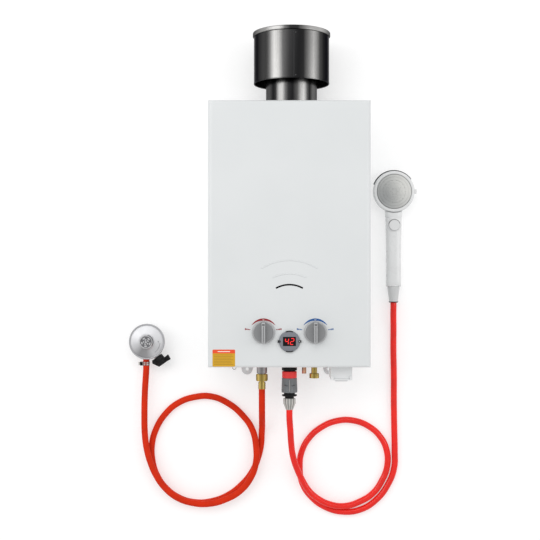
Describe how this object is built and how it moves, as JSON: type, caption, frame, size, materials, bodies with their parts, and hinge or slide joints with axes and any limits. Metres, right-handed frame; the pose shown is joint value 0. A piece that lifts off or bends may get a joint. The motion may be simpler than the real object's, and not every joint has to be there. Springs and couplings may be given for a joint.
{
  "type": "portable propane water heater",
  "caption": "Wall-hung camping gas water heater lying on its back, with flue cap, gas regulator hose and shower handset hose.",
  "frame": {"origin": "centre of the casing's flat back face, on the surface that the heater lies on", "axes": "+Z out of the front panel, +Y towards the flue and its cap, +X to the right when the front is faced"},
  "size_m": [0.6357, 1.0564, 0.19],
  "materials": {
    "white_paint": "satin powder coat",
    "galvanised": "galvanised sheet",
    "dark_stainless": "polished dark stainless",
    "stainless": "satin stainless",
    "copper": "bare copper",
    "brass": "turned brass",
    "zinc": "zinc die casting",
    "heat_glass": "smoked heat glass",
    "ceramic": "white ceramic",
    "black_plastic": "moulded black",
    "grey_plastic": "moulded grey",
    "silver_plastic": "silver plastic",
    "pale_plastic": "pale glossy plastic",
    "white_plastic": "moulded white",
    "display_black": "dark display window",
    "circuit_green": "circuit board",
    "cell_wrap": "cell jacket",
    "orange_rubber": "matte orange red rubber",
    "red_hose": "glossy red hose"
  },
  "bodies": {
    "heater": {"back_plate": "galvanised", "front_cover": "white_paint", "cover_screws": "stainless", "hanging_eye": "stainless", "flame_window": "heat_glass", "exhaust_hood": "galvanised", "flue_pipe": "stainless", "cap_shell": "dark_stainless", "cap_lid": "stainless", "cap_brackets": "galvanised", "combustion_chamber": "copper", "heat_exchanger": "copper", "burner_tray": "galvanised", "burner_bars": "stainless", "gas_manifold": "brass", "electrodes": "ceramic", "thermal_cutout": "stainless", "gas_valve_body": "zinc", "solenoid": "black_plastic", "water_valve_body": "brass", "microswitch": "black_plastic", "cold_pipe": "copper", "hot_pipe": "copper", "gas_pipe": "brass", "pulse_igniter": "black_plastic", "battery_box": "white_plastic", "batteries": "cell_wrap", "battery_springs": "stainless", "display_board": "circuit_green", "display_bezel": "grey_plastic", "display_lens": "display_black", "gas_inlet": "zinc", "hose_swivel_nut": "brass", "hose_ferrule": "brass", "gas_hose": "orange_rubber", "water_outlet": "black_plastic", "coupler_tail": "black_plastic", "shower_hose_nut": "grey_plastic", "shower_hose": "red_hose", "relief_tube": "copper", "water_inlet": "brass", "regulator_body": "zinc", "regulator_cover": "zinc", "regulator_cap": "grey_plastic", "hose_clamp": "stainless", "handset_shell": "pale_plastic", "spray_face": "grey_plastic", "handset_nut": "silver_plastic"},
    "gas_knob": {"gas_knob": "grey_plastic", "gas_valve_stem": "stainless"},
    "water_knob": {"water_knob": "grey_plastic", "water_valve_stem": "stainless"},
    "release_sleeve": {"sleeve_grip": "silver_plastic"},
    "pause_button": {"pause_button": "pale_plastic"},
    "spray_ring": {"spray_ring": "pale_plastic"},
    "cylinder_nut": {"regulator_inlet_nut": "black_plastic"},
    "battery_door": {"battery_door": "white_plastic"},
    "diaphragm_rod": {"diaphragm_rod": "stainless"}
  },
  "joints": [
    {"name": "gas_knob_turn", "type": "hinge", "parent": "heater", "child": "gas_knob", "pos_m": [-0.054, -0.205, 0.165], "axis": [0, 0, 1], "range_deg": [-85, 85]},
    {"name": "water_knob_turn", "type": "hinge", "parent": "heater", "child": "water_knob", "pos_m": [0.054, -0.205, 0.165], "axis": [0, 0, 1], "range_deg": [-85, 85]},
    {"name": "release_sleeve_slide", "type": "slide", "parent": "heater", "child": "release_sleeve", "axis": [0, -1, 0], "range_m": [0, 0.004], "stiffness_N_per_m": 1500, "springref_m": -0.002},
    {"name": "pause_button_press", "type": "slide", "parent": "heater", "child": "pause_button", "axis": [0, 0, -1], "range_m": [0, 0.0025], "stiffness_N_per_m": 1200, "springref_m": -0.001},
    {"name": "spray_ring_turn", "type": "hinge", "parent": "heater", "child": "spray_ring", "pos_m": [0.234, 0.098, 0.03], "axis": [0, 0, 1], "range_deg": [-60, 60]},
    {"name": "cylinder_nut_turn", "type": "hinge", "parent": "heater", "child": "cylinder_nut", "pos_m": [-0.28332, -0.27446, 0.022], "axis": [0.5736, -0.8192, 0], "continuous": true},
    {"name": "battery_door_swing", "type": "hinge", "parent": "heater", "child": "battery_door", "pos_m": [0.1115, -0.3076, 0.1256], "axis": [-1, 0, 0], "range_deg": [0, 110]},
    {"name": "diaphragm_rod_slide", "type": "slide", "parent": "heater", "child": "diaphragm_rod", "axis": [-1, 0, 0], "range_m": [0, 0.004], "stiffness_N_per_m": 500, "springref_m": -0.002}
  ]
}
